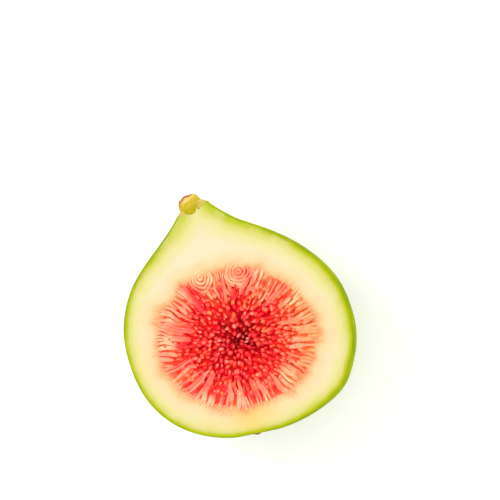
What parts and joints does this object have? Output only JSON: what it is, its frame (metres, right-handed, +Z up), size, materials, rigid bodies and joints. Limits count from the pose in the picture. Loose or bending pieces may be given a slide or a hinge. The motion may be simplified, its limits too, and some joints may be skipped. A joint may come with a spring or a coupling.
{
  "type": "halved fig",
  "caption": "Halved ripe fig lying cut side up: thin green skin round pale cream flesh, a red pulp of packed florets, a short stem stub and a scaly eye.",
  "frame": {"origin": "middle of the small flat that the half fig rests on, at the bottom of its round back", "axes": "+Z up, out of the cut face; +Y along the cut face from the eye towards the stem; +X across it"},
  "size_m": [0.0543, 0.0602, 0.0297],
  "materials": {
    "skin": "waxy, soft gloss, yellow-green",
    "flesh": "moist matt cream",
    "pulp": "wet, glossy red",
    "stem": "dry matt tan",
    "eye": "dry matt brown"
  },
  "bodies": {
    "root": {"skin": "skin", "flesh": "flesh", "pulp": "pulp", "stem": "stem", "eye": "eye"}
  },
  "joints": []
}
